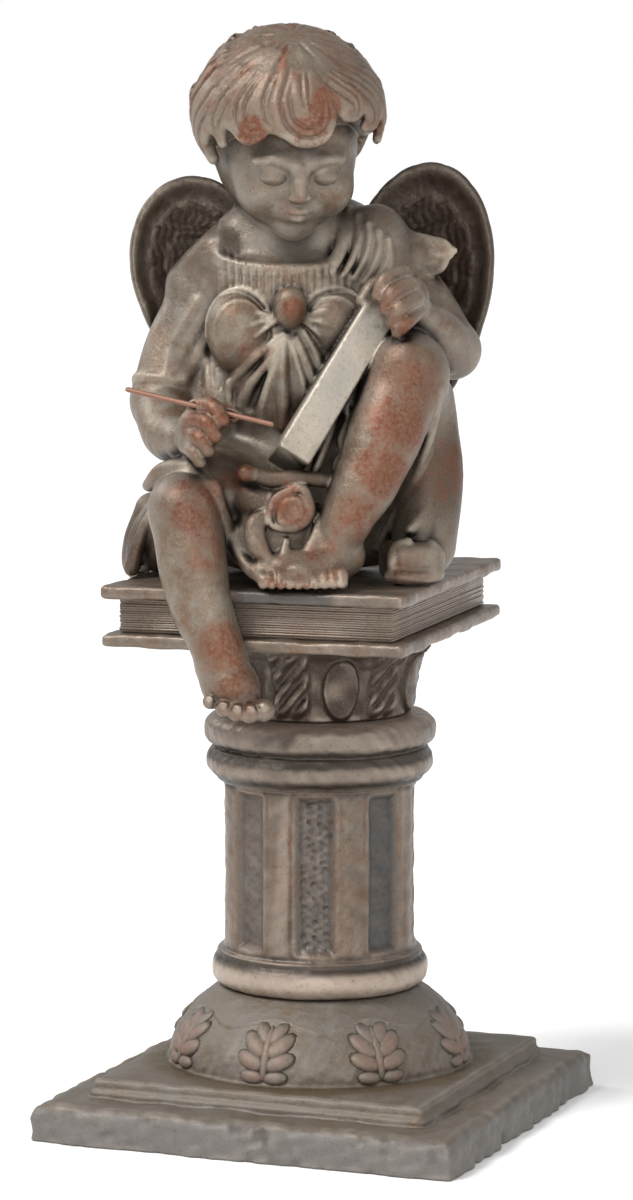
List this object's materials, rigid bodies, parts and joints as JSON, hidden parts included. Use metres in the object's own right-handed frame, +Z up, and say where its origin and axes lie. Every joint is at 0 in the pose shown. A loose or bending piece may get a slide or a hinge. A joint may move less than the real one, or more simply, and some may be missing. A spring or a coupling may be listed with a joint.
{
  "type": "cast iron angel statue",
  "caption": "Seated winged child writing on a tablet, on a closed book over a fluted column with a bell foot and a stepped square plinth.",
  "frame": {"origin": "centre of the plinth's underside", "axes": "+Z up, -Y towards the front where one leg hangs over the book's edge, +X to the viewer's right"},
  "size_m": [0.195, 0.195, 0.4751],
  "materials": {
    "base_iron": "rough cast iron under grey-brown antique paint, worn lighter on the edges",
    "column_iron": "cast iron under antique bronze paint, warm on the flute edges, grey in the flutes",
    "capital_iron": "cast iron under antique bronze paint, dark in the joints",
    "figure_iron": "cast iron under antique bronze paint with copper-brown rub on knees, hands and hair",
    "pen_copper": "dull copper-coloured wire"
  },
  "bodies": {
    "root": {"base": "base_iron", "column": "column_iron", "capital_book": "capital_iron", "angel": "figure_iron", "pen": "pen_copper"}
  },
  "joints": []
}
